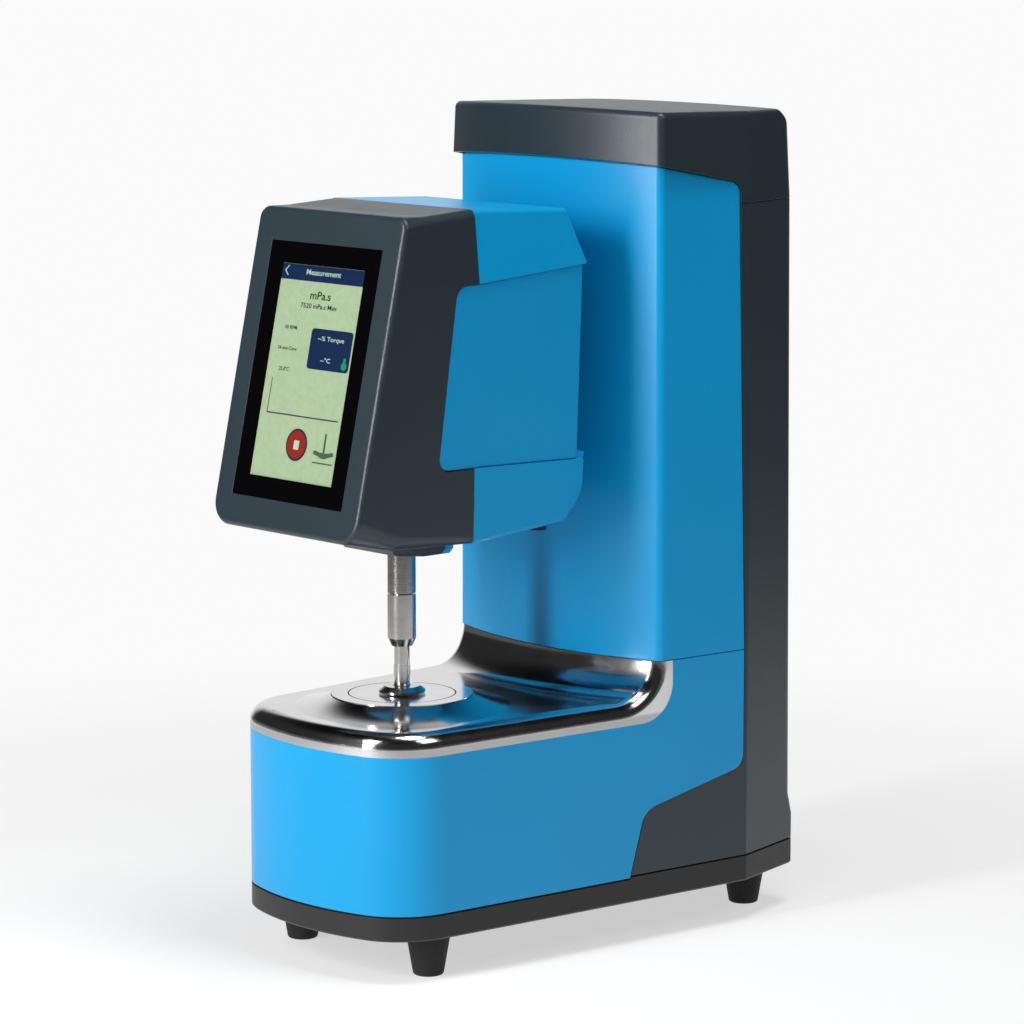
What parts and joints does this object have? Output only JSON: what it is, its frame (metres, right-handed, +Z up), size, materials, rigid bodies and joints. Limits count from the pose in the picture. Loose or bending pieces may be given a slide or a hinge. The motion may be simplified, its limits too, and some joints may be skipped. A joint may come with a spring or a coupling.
{
  "type": "cone-plate viscometer",
  "caption": "Bench cone-plate viscometer: motor-lifted head with tilted display and rotating cone spindle over a heated steel plate in a polished deck, on a tall tower.",
  "frame": {"origin": "middle of the footprint's bounding box, level with the soles of the feet", "axes": "+Z up; -Y towards the operator, where the display looks; +X to the operator's right"},
  "size_m": [0.1644, 0.2988, 0.4324],
  "materials": {
    "blue_paint": "satin with a fine orange peel",
    "slate_plastic": "fine texture",
    "black_plastic": "fine texture",
    "rubber": "matte",
    "polished_steel": "mirror polished",
    "spindle_steel": "fine turned",
    "bare_steel": "plain",
    "aluminium": "machined",
    "brass": "machined",
    "ceramic": "plain",
    "display_black": "gloss",
    "display_face": "pale green display",
    "circuit_board": "solder mask"
  },
  "bodies": {
    "stand": {"foot_front_left": "rubber", "foot_front_right": "rubber", "foot_rear_left": "rubber", "foot_rear_right": "rubber", "foot_screws": "bare_steel", "base_plate": "black_plastic", "base_housing": "blue_paint", "deck_cover": "polished_steel", "plate_ring": "polished_steel", "measuring_plate": "polished_steel", "plate_seal": "rubber", "plate_carrier": "aluminium", "heater_block": "aluminium", "temperature_probe": "bare_steel", "peltier_module": "ceramic", "heat_sink": "aluminium", "tower_front_cover": "blue_paint", "tower_back_cover": "slate_plastic", "top_cap": "slate_plastic", "tower_frame": "aluminium", "lower_rod_block": "aluminium", "upper_rod_block": "aluminium", "guide_rod_left": "bare_steel", "guide_rod_right": "bare_steel", "lift_motor": "bare_steel", "lift_motor_bracket": "aluminium", "power_inlet": "black_plastic", "switch_frame": "black_plastic", "data_port": "black_plastic", "cover_screws": "bare_steel", "power_supply": "bare_steel", "main_board": "circuit_board"},
    "lift_screw": {"lead_screw": "bare_steel", "screw_coupling": "aluminium"},
    "head": {"head_bezel": "slate_plastic", "head_body": "blue_paint", "upper_wrap": "blue_paint", "lower_wrap": "blue_paint", "display_glass": "display_black", "display_panel": "display_face", "display_board": "circuit_board", "head_frame": "aluminium", "bearing_housing": "aluminium", "lower_bearing": "bare_steel", "upper_bearing": "bare_steel", "spindle_motor": "bare_steel", "carriage": "aluminium", "rod_bushes": "brass", "lift_nut": "brass", "head_arm": "aluminium", "slot_shield": "black_plastic", "head_knob": "black_plastic"},
    "spindle": {"cone_spindle": "spindle_steel", "coupling_body": "spindle_steel", "drive_shaft": "spindle_steel", "sleeve_spring": "bare_steel"},
    "sleeve": {"coupling_sleeve": "spindle_steel"},
    "power_rocker": {"switch_rocker": "black_plastic"}
  },
  "joints": [
    {"name": "head_lift", "type": "slide", "parent": "stand", "child": "head", "axis": [0, 0, 1], "range_m": [0, 0.06]},
    {"name": "screw_turn", "type": "hinge", "parent": "stand", "child": "lift_screw", "pos_m": [0, 0.0683, 0.2], "axis": [0, 0, 1], "range_deg": [-2165, 5]},
    {"name": "spindle_spin", "type": "hinge", "parent": "head", "child": "spindle", "pos_m": [0, -0.0697, 0.2], "axis": [0, 0, 1], "continuous": true},
    {"name": "sleeve_slide", "type": "slide", "parent": "spindle", "child": "sleeve", "axis": [0, 0, 1], "range_m": [0, 0.004], "stiffness_N_per_m": 400, "springref_m": -0.002, "deforming": ["sleeve_spring"]},
    {"name": "rocker_tilt", "type": "hinge", "parent": "stand", "child": "power_rocker", "pos_m": [0, 0.143, 0.092], "axis": [1, 0, 0], "range_deg": [-16, 0]}
  ],
  "couplings": [
    {"joint": "screw_turn", "follows": "head_lift", "rad_per_m": -628.32}
  ]
}
